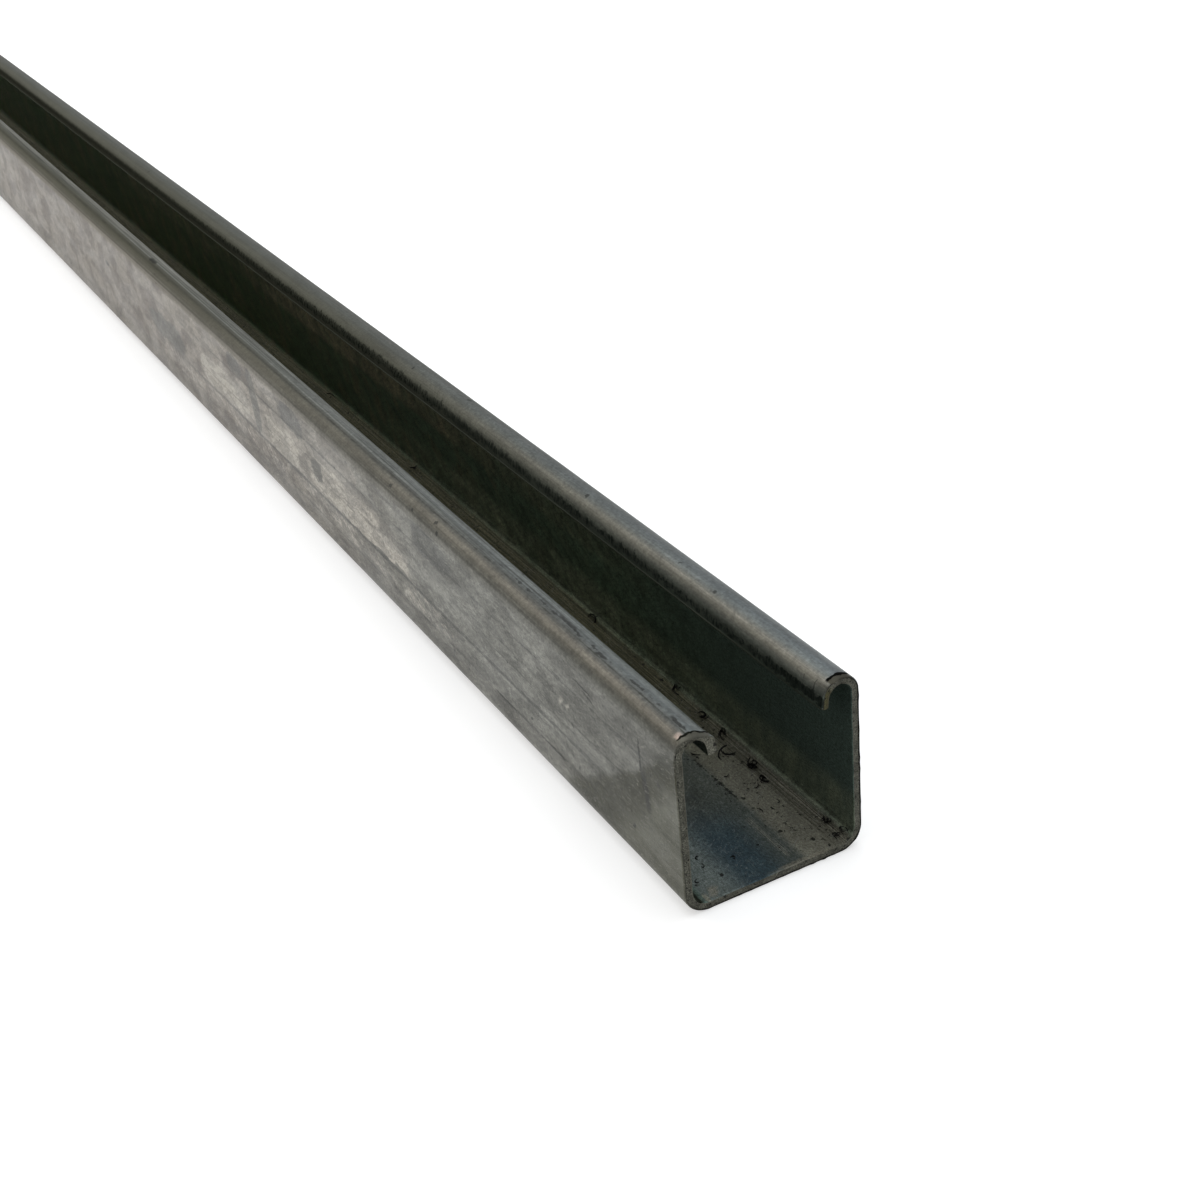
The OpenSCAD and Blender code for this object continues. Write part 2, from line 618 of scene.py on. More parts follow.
def marked(colour, place, share, over, marks, softness=0.4):
    """A colour with worn marks painted on it. Each mark is its place along and across the strip, its
    half length and half width, and its turn in degrees."""
    for along, across, half_length, half_width, turn in marks:
        mask = use(worn_mark, Place=place, Middle=(along, across, 0.0), Turn=np.radians(turn),
                   Half_size=(half_length, half_width, 1.0), Softness=softness)["Mask"]
        colour = paint(colour, (mask, share, over))
    return colour


# Millimetres across the strip from the web's middle, to the foot of a crown and to a slit edge.
crown_foot = (web_run / 2 + stretches[3][0] + side_run) / MM
slit_side = strip_length / 2 / MM


def outside_wear(along, on_lip, mottle, lines):
    """How far the mottle and the rolled lines darken or lighten the outer skin, as a factor about 1.
    The broad mottle is calmer near the cut, the fine one far from it, and both on the lips."""
    broad = times(swing(mottle["Feathers"], 0.8), swing(mottle["Flakes"], 0.34))
    broad_calm = maths("MAXIMUM", times(on_lip, 0.65), times(fade(along, 60.0, 15.0), 0.55))
    fine = times(swing(mottle["Grit"], 2.5), swing(mottle["Flecks"], 0.2))
    fine_calm = maths("MAXIMUM", times(on_lip, 0.3), blend(fade(along, 80.0, 330.0), 0.25, 0.6))
    wear = times(blend(fine_calm, fine, 1.0), blend(broad_calm, broad, 1.0), swing(lines, 0.9))
    return blend(times(fade(along, 200.0, 420.0), 0.5), wear, 1.0)


def worn_zinc(along, below, folded, patches):
    """The bare colour of the outer walls: cloudy grey near the cut, paler and browner beyond it."""
    near = mix(fade(patches, 0.38, 0.62), tone(91, 91, 85), tone(110, 110, 103))
    leaning = noise(stretched(folded, 14.0, 10.0, turn=0.3), detail=3.0, distortion=0.6)
    far = mix(fade(leaning, 0.42, 0.56), tone(98, 91, 83), tone(121, 115, 106))
    colour = mix(fade(along, 80.0, 290.0), near, far)
    colour = scaled(colour, blend(fade(along, 8.0, 60.0), 0.88, 1.05))
    high_and_far = times(fade(below, 8.0, 1.0), fade(along, 330.0, 520.0))
    return scaled(colour, blend(high_and_far, 1.0, 0.86))


def bright_blocks(colour, torn, left, along, below, patches):
    """Bright blocks on the left wall, darker blocks between them, and feathers under them."""
    colour = marked(colour, torn, 0.5, tone(141, 136, 127), [(215, 40.5, 92, 7.4, 0)], 0.2)
    colour = marked(colour, torn, 0.9, tone(150, 145, 135), [
        (165, 36.6, 37, 2.9, 0), (169, 42, 22, 2.4, 0), (221, 39.2, 14, 5.7, 0),
        (275, 39, 26, 5.6, 0)], 0.12)
    colour = marked(colour, torn, 0.55, tone(134, 129, 120), [
        (178, 50.4, 19, 3.2, 0), (231, 50.4, 11, 3.2, 0), (302, 50, 34, 5, 0), (134, 38, 5, 0.9, -8)], 0.15)
    colour = marked(colour, torn, 0.65, tone(76, 77, 73), [
        (112, 49.8, 13, 3.8, 0), (210, 49.8, 10, 4, 0), (259, 50.8, 7, 3.4, 0), (192, 40.5, 4.5, 3.6, 0),
        (243.5, 44, 4, 11, 0), (338, 39, 22, 5, 0)], 0.15)
    strokes = noise(stretched(left, 4.6, 1.7, turn=-0.6), detail=3.0, distortion=1.4)
    feathered = times(fade(strokes, 0.52, 0.56), window(below, 20.6, 25.5, 2.0),
                      window(along, 112.0, 330.0, 20.0), fade(patches, 0.42, 0.5))
    return paint(colour, (feathered, 0.7, tone(150, 144, 134)))


def roll_marks(colour, folded, along, below):
    """Dark lines that the rolls left along each side wall, and the dull foot of the wall."""
    for middle, half_width, ragged, tooth, share in (
            (38.53, 0.25, 0.8, 30.0, 0.7), (33.4, 0.65, 1.0, 25.0, 0.7), (47.3, 0.4, 2.4, 9.0, 0.6),
            (26.6, 0.35, 2.2, 8.0, 0.6), (42.5, 0.15, 1.2, 14.0, 0.5)):
        line = times(band(folded, middle, half_width, 0.3, ragged, tooth), fade(along, 420.0, 200.0))
        colour = paint(colour, (line, share, tone(56, 57, 53)))
    return paint(colour, (fade(below, 24.0, 29.0), 0.3, tone(66, 62, 54)))


def dark_reflection_patch(colour, wear, left, on_left):
    """A painted dark reflection on the left wall near the cut: a darker olive zone below a slant from
    the cut, with a dark rim that widens downwards. In it, its smears take the place of most of the
    wear."""
    along, side, _ = split(jittered(left, (4.0, 0.15)))
    down = minus(crown_foot, side)
    past = minus(along, times(down, 1.27))
    # A painted dark reflection: a darker olive zone below a slant from the cut, with a dark rim.
    in_reflection = times(fade(past, 3.0, -7.0), on_left)
    spread = plus(3.4, times(down, 0.24))
    from_rim = divided(plus(past, 3.6), spread)
    rim = times(fade(from_rim, 1.2, 0.65), fade(from_rim, -1.6, -0.2), on_left)
    colour = paint(colour, (in_reflection, 0.5, tone(78, 79, 61)), (rim, 0.93, tone(50, 50, 36)))
    smears = noise(stretched(left, 2.0, 15.0, turn=-0.12), detail=4.0, roughness=0.6)
    return colour, blend(times(in_reflection, 0.75), wear, swing(smears, 0.75))


def scratched(colour, torn, close, folded):
    """Single scratches, pits and bright nicks on the left wall, and fine hairlines on both walls."""
    colour = marked(colour, torn, 0.8, tone(52, 53, 44), [(3, 51.6, 9, 4, -20)], 0.9)
    colour = marked(colour, close, 0.8, tone(28, 29, 25), [
        (13.7, 47, 0.6, 5.8, 0), (12.2, 40, 1.5, 7.0, -8), (53, 26.6, 6.5, 0.5, 0), (77, 26.4, 7.5, 0.5, 0),
        (36, 50.8, 5.5, 0.35, 5), (34, 49.6, 3.5, 0.3, 12), (18.7, 27.8, 0.8, 0.8, 0),
        (43, 38.3, 0.9, 0.5, 30), (64, 28.8, 0.9, 0.5, -30), (413, 42.9, 3.5, 1.2, 0)], 0.6)
    colour = marked(colour, close, 0.85, tone(150, 147, 138), [
        (44.4, 42.2, 2.0, 0.8, -45), (47.6, 42, 2.3, 1.0, -45), (114, 31.3, 4, 1.3, -30),
        (134, 28.8, 3.5, 1.2, -40)], 0.9)
    for slant, spacing, share, strength, over in (
            (0.5, 1.2, 0.56, 0.55, tone(48, 49, 46)), (1.45, 1.6, 0.48, 0.55, tone(38, 39, 35)),
            (0.2, 1.0, 0.52, 0.5, tone(146, 143, 134))):
        colour = paint(colour, (hairs(folded, slant, spacing, share), strength, over))
    return colour


def lip_colour_and_light(side, on_left, left_way, right_way):
    """The colour of the lips from the crown's foot over its top to the slit edge, each from near the
    cut to far from it. Part of it is painted light: a beige painted highlight along each crown,
    which fades away from the cut on the right lip, and painted shade that darkens each lip towards
    its slit edge."""
    # The ramps hold a painted highlight over each crown and painted shade towards the slit edge.
    left_near = ramp(
        side, (53.8, 96, 96, 90), (54.8, 90, 90, 84), (55.4, 71, 71, 65), (56.4, 62, 61, 55),
        (57.4, 87, 85, 79), (58.2, 71, 72, 69), (59.6, 76, 81, 81), (61.0, 100, 106, 104),
        (63.0, 101, 106, 103), (64.4, 60, 62, 58))
    left_far = ramp(
        side, (53.8, 138, 134, 126), (54.9, 120, 117, 110), (56.1, 76, 75, 68), (57.5, 62, 62, 53),
        (58.5, 68, 68, 61), (59.5, 87, 87, 82), (60.8, 117, 117, 112), (63.0, 117, 117, 112),
        (64.4, 56, 58, 52))
    right_near = ramp(
        side, (53.8, 84, 86, 82), (57.5, 80, 86, 87), (59.2, 81, 87, 89), (60.2, 87, 91, 90),
        (61.2, 98, 97, 91), (62.0, 66, 66, 60), (62.8, 64, 66, 61), (63.6, 74, 79, 72), (66.4, 68, 78, 69))
    right_far = ramp(
        side, (53.8, 90, 90, 85), (58.5, 85, 86, 84), (59.5, 79, 81, 78), (61.0, 72, 73, 67),
        (62.0, 71, 72, 65), (63.0, 61, 62, 54), (64.0, 49, 51, 42), (66.4, 46, 48, 38))
    return mix(on_left, mix(right_way, right_near, right_far), mix(left_way, left_near, left_far))


def lip_lines(colour, side, along, folded, on_left):
    """The lips with their rolled grain, dark lines along the left crown, and a painted highlight in a thin
    pale line beside its seam.
    """
    lines = use(rolled_grain, Place=folded, Line_width=0.36, Line_length=150.0)["Lines"]
    colour = scaled(colour, swing(lines, 1.3))
    slot_side = times(window(side, 58.9, 64.0, 0.4), on_left)
    dark_lines = times(fade(lines, 0.5, 0.46), fade(along, 10.0, 70.0), slot_side)
    foot_line = times(window(side, 55.3, 55.5, 0.25), fade(along, 20.0, 80.0), on_left)
    # A painted highlight: a thin pale line along the left crown beside its seam, away from the cut.
    seam_highlight = times(window(side, 58.9, 59.1, 0.2), window(along, 140.0, 380.0, 60.0), on_left)
    return paint(colour, (dark_lines, 0.75, tone(46, 48, 44)), (foot_line, 0.4, tone(50, 49, 42)),
                 (seam_highlight, 0.35, tone(124, 126, 122)))


def lip_marks(colour, left, right, along, from_cut, flakes):
    """Pits on both lips, a dirty seam and a smudge along the left crown, and a painted highlight at its
    tip.
    """
    colour = marked(colour, jittered(left, (1.2, 0.7)), 0.85, tone(26, 27, 25), [
        (353.5, 58.7, 4.5, 0.8, 0), (4.5, 58.9, 3.5, 0.35, 0), (110.5, 56.9, 0.9, 0.5, 0),
        (137, 56.4, 1, 0.5, 0), (108, 55.6, 0.8, 0.5, 0), (122.5, 55.7, 0.7, 0.4, 0),
        (49, 59.3, 5, 0.35, 2), (34, 58.8, 2.5, 0.35, -3), (75.5, 61.6, 0.7, 0.4, 0)])
    colour = marked(colour, jittered(right, (1.2, 0.7)), 0.75, tone(28, 29, 27), [
        (170, 58.2, 1, 0.6, 0), (99.5, 60, 0.8, 0.5, 0), (42.5, 60.3, 0.8, 0.4, 0),
        (3.2, 62.6, 0.3, 0.9, 0)])
    seam_middle = minus(58.4, times(fade(along, 0.0, 400.0), 0.6))
    seam = band(left, seam_middle, blend(from_cut, 0.2, 0.6), blend(from_cut, 0.2, 0.8), 0.7, 4.0)
    seam = times(seam, blend(fade(flakes, 0.2, 0.8), 0.4, 0.8))
    smudge = times(band(left, 59.1, 0.05, 0.15, 3.4, 5.0), window(along, 14.0, 75.0, 12.0))
    colour = paint(colour, (seam, 0.9, tone(34, 34, 28)), (smudge, 0.8, tone(28, 29, 27)))
    # A painted highlight: a pinkish bright spot on the left crown at the near cut.
    return marked(colour, left, 0.6, tone(165, 148, 138), [(1.6, 57.4, 1.3, 0.8, 0)], 0.8)


def leg_shade_band(along, folded, from_cut, far_off):
    """Painted shade on the inner face of the lip, above the slit edge, where it faces down into the
    slot: a dark ragged band, thin in places."""
    at_tip = fade(along, 32.0, 4.0)
    middle = minus(slit_side - 1.6, from_cut)
    half_width = plus(blend(from_cut, 0.65, 1.05), times(at_tip, 0.3))
    leg_shade = band(folded, middle, half_width, blend(far_off, 0.1, 0.6), blend(far_off, 4.8, 2.2), 2.4)
    runs = noise(stretched(folded, 0.6, 1.8), detail=5.0, roughness=0.8)
    thin = times(fade(runs, 0.46, 0.52), blend(far_off, 0.8, 0.4), blend(at_tip, 1.0, 0.4))
    return times(leg_shade, minus(1.0, thin))


def broken_crowns_with_shadow(colour, side, folded, on_left):
    """The broken edge of the crowns at the cut: rough brown steel, darkened by painted shade on the
    right crown, and a black painted shadow line behind it. It gives the colour, and where the shadow
    line is."""
    from_near = split(jittered(folded, (1.2, 0.9)))[0]
    crown = times(window(side, slit_side - 9.5, slit_side - 4.0, 0.4),
                  blend(on_left, fade(side, slit_side - 5.0, slit_side - 5.4), 1.0))
    steel_and_shade = times(fade(from_near, 1.05, 0.85), crown)
    line_end = times(fade(from_near, 1.5, 1.4), blend(on_left, 1.0, fade(from_near, 1.25, 1.15)))
    # The painted shadow line: a black line along the broken edge of each crown.
    line = times(fade(from_near, 0.75, 0.85), line_end, crown)
    colour = paint(colour, (steel_and_shade, 0.9, mix(on_left, tone(42, 39, 29), tone(66, 65, 57))),
                   (line, 1.0, mix(on_left, tone(5, 5, 4), tone(15, 16, 12))))
    return colour, line


def zinc_outside():
    """The outer skin: dull grey zinc, cloudy and scratched on the walls, with roll marks, bright
    blocks and a painted dark reflection near the cut; the lips are greasy, with painted highlights on
    their crowns and along their slit edges, a painted shadow line behind their broken crowns, and
    painted shade that makes them black inside along their edges."""
    material, shader = new_finish("zinc_outside")
    along, across, _ = split(strip_place(shader))
    side = maths("ABSOLUTE", across)
    below = minus(crown_foot, side)
    on_left = fade(across, 1.0, -1.0)
    on_lip = fade(below, 0.5, -1.0)
    left_way, right_way = fade(along, -20.0, 400.0), fade(along, -40.0, 260.0)
    from_cut = blend(on_left, right_way, left_way)
    far_off = fade(along, 120.0, 520.0)

    # The left wall's own places, the right wall's, and places on both with unlike noise on each.
    left = joined(along, times(across, -1.0))
    right = joined(along, across)
    apart_in_noise = 37.0
    folded = joined(along, side, times(on_left, apart_in_noise))
    torn = jittered(left, (5.0, 0.09), (2.2, 0.5))
    close = jittered(left, (1.0, 0.8))

    lines = use(rolled_grain, Place=folded, Line_width=0.4, Line_length=40.0)["Lines"]
    mottle = use(zinc_mottle, Place=folded, Patch_size=9.0, Patch_length=3.0, Feather_size=1.0,
                 Grit_size=0.8)
    patches = mottle["Patches"]
    wear = outside_wear(along, on_lip, mottle, lines)
    colour = worn_zinc(along, below, folded, patches)
    colour = bright_blocks(colour, torn, left, along, below, patches)
    colour = roll_marks(colour, folded, along, below)
    colour, wear = dark_reflection_patch(colour, wear, left, on_left)
    colour = scratched(colour, torn, close, folded)

    lips = lip_lines(lip_colour_and_light(side, on_left, left_way, right_way), side, along, folded, on_left)
    lips = lip_marks(lips, left, right, along, from_cut, mottle["Flakes"])
    colour = mix(fade(side, crown_foot - 0.6, crown_foot + 1.0), colour, lips)
    leg_shade = leg_shade_band(along, folded, from_cut, far_off)
    # Painted shade on the lips' legs: a near-black ragged band above the slit edge.
    colour = paint(colour, (leg_shade, 0.92, mix(far_off, tone(12, 20, 16), tone(29, 31, 23))))
    # A painted highlight along the slit edge of each lip near the cut.
    lit_edge = times(window(side, slit_side - 0.55, slit_side - 0.12, 0.12), fade(along, 10.0, 45.0))
    colour = paint(scaled(colour, wear), (lit_edge, 0.85, tone(104, 109, 100)),
                   (specks(folded, 3.2, 0.1, 0.3), 0.7, tone(28, 28, 26)))
    colour, crown_shadow_line = broken_crowns_with_shadow(colour, side, folded, on_left)

    greasy = times(on_lip, from_cut)
    rough = blend(greasy, blend(fade(patches, 0.35, 0.65), 0.5, 0.4), 0.62)
    # The painted shadow line, and in part the painted shade on the legs, also blacken the reflection's
    # tint.
    blackened = maths("MAXIMUM", crown_shadow_line, times(leg_shade, 0.35))
    edge_tint = mix(blackened, mix(greasy, (1, 1, 1, 1), (0.6, 0.6, 0.57, 1)), (0, 0, 0, 1))
    relief = times(blend(0.6, lines, mottle["Grit"]), blend(on_lip, 1.0, 0.35))
    feed(shader, Base_Color=colour, Metallic=0.85, Roughness=rough, Specular_Tint=edge_tint,
         Normal=bump(relief, 0.12 * MM))
    return material


def oiled_walls(along, across, side, smears, clouds):
    """The inner walls: bluish at the cut, greener beyond it, and smeared with brown; paler at the
    foot and on two long stretches higher up, and with painted shade under the left lip."""
    colour = mix(fade(along, 20.0, 110.0), tone(79, 94, 87), tone(76, 94, 77))
    colour = mix(fade(along, 150.0, 420.0), colour, tone(44, 66, 34))
    brown = times(fade(smears, 0.36, 0.6), fade(clouds, 0.46, 0.56), fade(along, 60.0, 220.0))
    stained = blend(fade(smears, 0.3, 0.6), 0.45, 1.0)
    foot = times(window(side, 21.0, 26.5, 5.0), fade(along, 300.0, 120.0), stained)
    upper = times(window(along, 120.0, 520.0, 60.0), window(side, 39.5, 45.0, 2.5),
                  blend(window(along, 195.0, 335.0, 30.0), 0.35, 1.0), stained)
    # Painted shade inside the left lip's crown and on the wall just under it.
    under_lip_shade = times(fade(side, 53.0, 56.0), fade(across, 0.0, -1.0))
    return paint(colour, (brown, 0.6, tone(84, 72, 53)), (foot, 0.85, tone(124, 131, 112)),
                 (upper, 0.85, tone(120, 115, 94)), (under_lip_shade, 0.85, tone(34, 34, 20)))


def clean_web(place, along, across, patches):
    """The web without its dust: blue at the cut and grey beyond it, paler at its left side and
    towards its right one, with pale streaks."""
    cloudy = fade(patches, 0.36, 0.62)
    blue = mix(cloudy, tone(40, 52, 58), tone(47, 60, 65))
    grey = mix(cloudy, tone(46, 50, 47), tone(66, 68, 62))
    colour = mix(fade(along, 14.0, 32.0), blue, grey)
    streaks = noise(stretched(place, 5.0, 0.8), detail=4.0, roughness=0.7)
    return paint(colour, (fade(across, -4.5, -11.5), 0.75, tone(91, 97, 93)),
                 (fade(across, -1.0, 6.0), 0.8, tone(76, 80, 75)),
                 (fade(streaks, 0.54, 0.7), 0.15, tone(98, 108, 108)))


def web_dust(along, across, mottle, lines):
    """The colour of the dust along the web's right side: yellower beyond the cut, with painted shade
    in the rolled grooves."""
    colour = mix(fade(mottle["Patches"], 0.38, 0.62), tone(96, 95, 85), tone(105, 104, 93))
    colour = mix(fade(along, 25.0, 80.0), colour, tone(86, 85, 66))
    # Painted shade: dark stripes in the rolled grooves by the right corner.
    groove_shade = times(fade(across, 13.6, 15.0), fade(lines, 0.57, 0.45))
    return scaled(paint(colour, (groove_shade, 0.68, tone(36, 36, 24))), swing(mottle["Flecks"], 0.12))


def inside_marks(colour, place, along, across, lines):
    """Torn black lines and a pale one on the web near the cut, dust fallen in the left corner and
    along the cut, and painted shade in both bends."""
    for middle, half_width, start, end, share in ((6.9, 0.28, 26.0, 42.0, 0.9), (13.7, 0.1, 0.0, 8.0, 0.7)):
        torn = times(band(place, middle, half_width, 0.2, 2.4, 0.9), window(along, start, end, 1.5))
        colour = paint(colour, (torn, share, tone(14, 14, 11)))
    pale = times(window(across, 4.4, 6.6, 0.5), fade(lines, 0.5, 0.62), window(along, 4.0, 17.0, 2.0))
    colour = paint(colour, (pale, 0.6, tone(132, 128, 116)))
    torn_place = jittered(place, (2.2, 0.8))
    colour = marked(colour, torn_place, 0.6, tone(112, 108, 96), [
        (2.2, -13.2, 2.4, 1.6, 10), (0.2, 6.0, 0.9, 9.0, 0)], 0.7)
    colour = marked(colour, torn_place, 0.7, tone(116, 114, 101), [(1.2, -15.4, 1.6, 0.9, 0)], 0.5)
    # Painted shade along both bends between the web and the walls.
    for middle, half_width, soft, share in ((-18.4, 1.7, 1.0, 0.95), (20.4, 1.2, 1.8, 0.75)):
        bend_shade = band(place, middle, half_width, soft, 2.0, 3.0)
        colour = paint(colour, (bend_shade, share, tone(26, 26, 17)))
    return colour


def inside_wear(place, along, side, mottle, lines, dusty, smears, clouds):
    """How far the mottle, the lines and the oil darken or lighten the inner skin, as a factor about
    1. Beyond the cut the walls are mottled most."""
    upright = noise(stretched(place, 1.6, 9.0), detail=4.0, roughness=0.7)
    smaller = noise(stretched(place, 6.0, 2.4, turn=-0.4), detail=4.0, roughness=0.75)
    mottled = times(swing(upright, 1.3), swing(clouds, 1.8), swing(mottle["Feathers"], 1.6),
                    swing(smaller, 2.8))
    far_wall = times(fade(side, 18.0, 22.0), fade(along, 30.0, 90.0))
    fine = times(swing(mottle["Grit"], 3.1), swing(mottle["Flecks"], 0.4))
    return times(blend(times(dusty, 0.25), fine, 1.0), swing(lines, 1.0),
                 blend(far_wall, swing(smears, 0.5), mottled))


def zinc_inside():
    """The inner skin: the same zinc, dark with oil. The web is blue-grey where it is clean and dusty
    along its right side; the walls have upright brown smears."""
    material, shader = new_finish("zinc_inside")
    place = strip_place(shader)
    along, across, _ = split(place)
    side = maths("ABSOLUTE", across)
    lines = use(rolled_grain, Place=place, Line_width=0.35, Line_length=45.0)["Lines"]
    mottle = use(zinc_mottle, Place=place, Patch_size=5.0, Patch_length=2.8, Feather_size=0.8,
                 Grit_size=0.48)
    smears = noise(stretched(place, 6.0, 16.0), detail=6.0, roughness=0.68)
    leaning = stretched(place, 30.0, 7.0, turn=np.radians(-32))
    clouds = noise(leaning, detail=5.0, roughness=0.65, distortion=0.4)

    walls = oiled_walls(along, across, side, smears, clouds)
    colour = mix(fade(side, 16.5, 15.0), walls, clean_web(place, along, across, mottle["Patches"]))
    dusty = band(place, 13.2, 7.2, 2.4, 1.8, 3.0)
    colour = mix(dusty, colour, web_dust(along, across, mottle, lines))
    colour = inside_marks(colour, place, along, across, lines)
    colour = scaled(colour, inside_wear(place, along, side, mottle, lines, dusty, smears, clouds))

    on_floor = fade(side, 21.0, 17.0)
    in_dust = times(on_floor, blend(dusty, 0.3, 1.0))
    for spacing, size, share, where in (
            (0.9, 0.2, 0.3, in_dust), (2.0, 0.2, 0.45, in_dust), (4.5, 0.1, 0.4, on_floor)):
        dirt = times(specks(place, spacing, size, share), where)
        colour = paint(colour, (dirt, 0.95, tone(12, 12, 9)))
    bright_nicks = times(hairs(place, -0.9, 0.9, 0.46), on_floor)
    drips = times(hairs(place, 1.57, 1.8, 0.56), fade(side, 23.0, 28.0))
    colour = paint(colour, (bright_nicks, 0.4, tone(132, 136, 134)), (drips, 0.45, tone(18, 20, 16)))
    feed(shader, Base_Color=colour, Roughness=blend(dusty, 0.4, 0.7), Metallic=blend(dusty, 0.75, 0.15),
         Specular_IOR_Level=0.12, Normal=bump(blend(0.6, lines, mottle["Grit"]), 0.16 * MM))
    return material


def slit_edge():
    """The strip's slit edges at the ends of the lips: bare cut steel gone dull and yellowish."""
    material, shader = new_finish("slit_edge")
    lines = use(rolled_grain, Place=strip_place(shader), Line_width=0.2, Line_length=15.0)["Lines"]
    feed(shader, Base_Color=mix(lines, tone(62, 60, 47), tone(46, 45, 37)), Metallic=0.5, Roughness=0.5,
         Normal=bump(lines, 0.03 * MM))
    return material


def sawn_steel():
    """The saw cuts: bare steel, grey-brown with dust and pitted with dirt. The outer edge, along the
    burr, is black and jagged, the inner edge is paler, and the right lip's tip is yellow with old oil."""
    material, shader = new_finish("sawn_steel")
    place = strip_place(shader)
    _, across, through = split(place)
    mottle = use(zinc_mottle, Place=place, Patch_size=2.5, Feather_size=0.4, Grit_size=0.45)
    patches = mottle["Patches"]
    colour = mix(fade(patches, 0.35, 0.65), tone(68, 68, 60), tone(98, 98, 88))
    from_slit = minus(slit_side, maths("ABSOLUTE", across))
    left_tip = times(fade(from_slit, 8.0, 4.0), fade(across, 0.0, -1.0))
    oiled = times(fade(from_slit, 5.5, 3.5), fade(across, 0.0, 1.0))
    colour = paint(colour, (left_tip, 0.6, tone(110, 110, 99)), (oiled, 0.9, tone(76, 74, 48)))
    wear = times(swing(mottle["Grit"], 3.4), swing(mottle["Feathers"], 0.9), swing(mottle["Flecks"], 0.8))
    uneven = plus(through, times(patches, 1.3))
    burr = times(fade(uneven, 1.2, 1.34), blend(fade(across, -16.0, -20.0), 0.95, 0.35))
    dirt = tone(18, 18, 15)
    colour = paint(scaled(colour, wear), (burr, 1.0, tone(9, 9, 7)),
                   (fade(through, -0.7, -0.92), 0.45, tone(116, 114, 104)),
                   (specks(place, 0.8, 0.28, 0.35), 0.85, dirt),
                   (specks(place, 1.9, 0.2, 0.45), 0.85, dirt))
    feed(shader, Base_Color=colour, Metallic=0.4, Specular_IOR_Level=0.15, Roughness=0.55,
         Normal=bump(mottle["Grit"], 0.3 * MM))
    return material


for finish in (zinc_outside(), zinc_inside(), slit_edge(), sawn_steel()):
    channel_mesh.materials.append(finish)
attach(channel_steel, "root")
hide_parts("channel")


# ---- The saw swarf -------------------------------------------------------------------------------
# Curls and flakes of steel that the saw threw into the channel, black with cutting oil. They lie
# loose on the web, most of them along the right corner, where the oil holds them.

curl_steps = 9
ring_points = 5
half_thick = 0.12
half_high = 0.17
sunk = 0.06
draw = np.random.default_rng(41)

# Each tangle: millimetres from the near cut and from the web's middle, its size and its turns.
tangles = np.array([
    (7.5, 17.6, 1.7, 0.95), (3.1, 17.0, 1.2, 0.7), (2.2, 18.9, 1.1, 0.5), (27.5, 14.6, 1.5, 0.8),
    (32.0, 16.2, 2.1, 0.9), (33.6, 15.3, 1.6, 0.6), (47.0, 17.9, 1.8, 0.7), (55.0, 17.5, 1.8, 0.8),
    (68.0, 19.0, 1.7, 0.6), (41.0, 13.6, 1.5, 0.4), (108.0, 18.8, 1.8, 0.5)])
single_curls = np.array([
    (44.0, 7.6, 1.3, 0.5), (26.0, 12.4, 0.8, 0.5), (13.0, -10.4, 0.8, 0.6), (9.6, -10.8, 0.7, 0.7),
    (8.7, -4.2, 0.9, 0.8), (6.6, -14.4, 0.8, 0.5), (18.5, 8.6, 0.8, 0.5), (33.0, 9.2, 0.7, 0.5),
    (19.0, 13.2, 0.7, 0.4), (221.0, 17.4, 2.6, 0.2), (290.0, 18.2, 3.8, 0.2)])
in_tangle = 3
strands = np.repeat(tangles, in_tangle, axis=0)
strands[:, :2] += draw.normal(0, 0.45, (len(strands), 2))
strands[:, 2] *= np.tile([1.3, 1.0, 0.7], len(tangles))
big_curls = np.concatenate([strands, single_curls])
flake_count = 150
flakes = np.column_stack([
    np.concatenate([draw.uniform(0.8, 60, 90), draw.uniform(60, 1215, 60)]),
    np.concatenate([draw.uniform(4, 18.5, 76), draw.uniform(-15, 4, 14), draw.uniform(13, 19.5, 60)]),
    draw.uniform(0.15, 0.5, flake_count), draw.uniform(0.1, 0.4, flake_count)])
chips = np.concatenate([big_curls, flakes])


def curl_points(chips):
    """Points of every chip, by chip, step and place round its section. A chip is a strand bent round
    a spiral whose radius shrinks from its first step to its last. Its section is an oval, lumpy at
    random, that narrows to a third at both ends. The whole chip is turned and tipped at random."""
    count = len(chips)
    along, across, size, turns = [chips[:, column, None, None] for column in range(4)]
    spin, tip_way = draw.uniform(0, 2 * np.pi, (2, count, 1, 1))
    tip = draw.uniform(0, 0.6, (count, 1, 1))
    step = np.linspace(0, 1, curl_steps)[None, :, None]
    ring = (np.arange(ring_points) * 2 * np.pi / ring_points)[None, None, :]
    ends = np.sqrt(np.sin(np.pi * (0.04 + 0.92 * step)))
    tightness = np.maximum(turns * 2, 0.8)
    radius = size * (1 - 0.45 * step) / tightness
    lumps = 1 + draw.uniform(-0.35, 0.35, (count, curl_steps, 1))
    thick = half_thick * np.sqrt(size) * ends * lumps * np.cos(ring)
    rise = half_high * np.sqrt(size) * ends * lumps * np.sin(ring)
    angle = spin + 2 * np.pi * turns * step
    centre = 0.55 * size / tightness
    middle_x = (radius + thick) * np.cos(angle) - centre * np.cos(spin + np.pi * turns)
    middle_y = (radius + thick) * np.sin(angle) - centre * np.sin(spin + np.pi * turns)
    height = rise + tip * (middle_x * np.cos(tip_way) + middle_y * np.sin(tip_way))
    height -= height.min(axis=(1, 2), keepdims=True) + sunk
    return (along + middle_x) * MM, (across + middle_y) * MM, height * MM


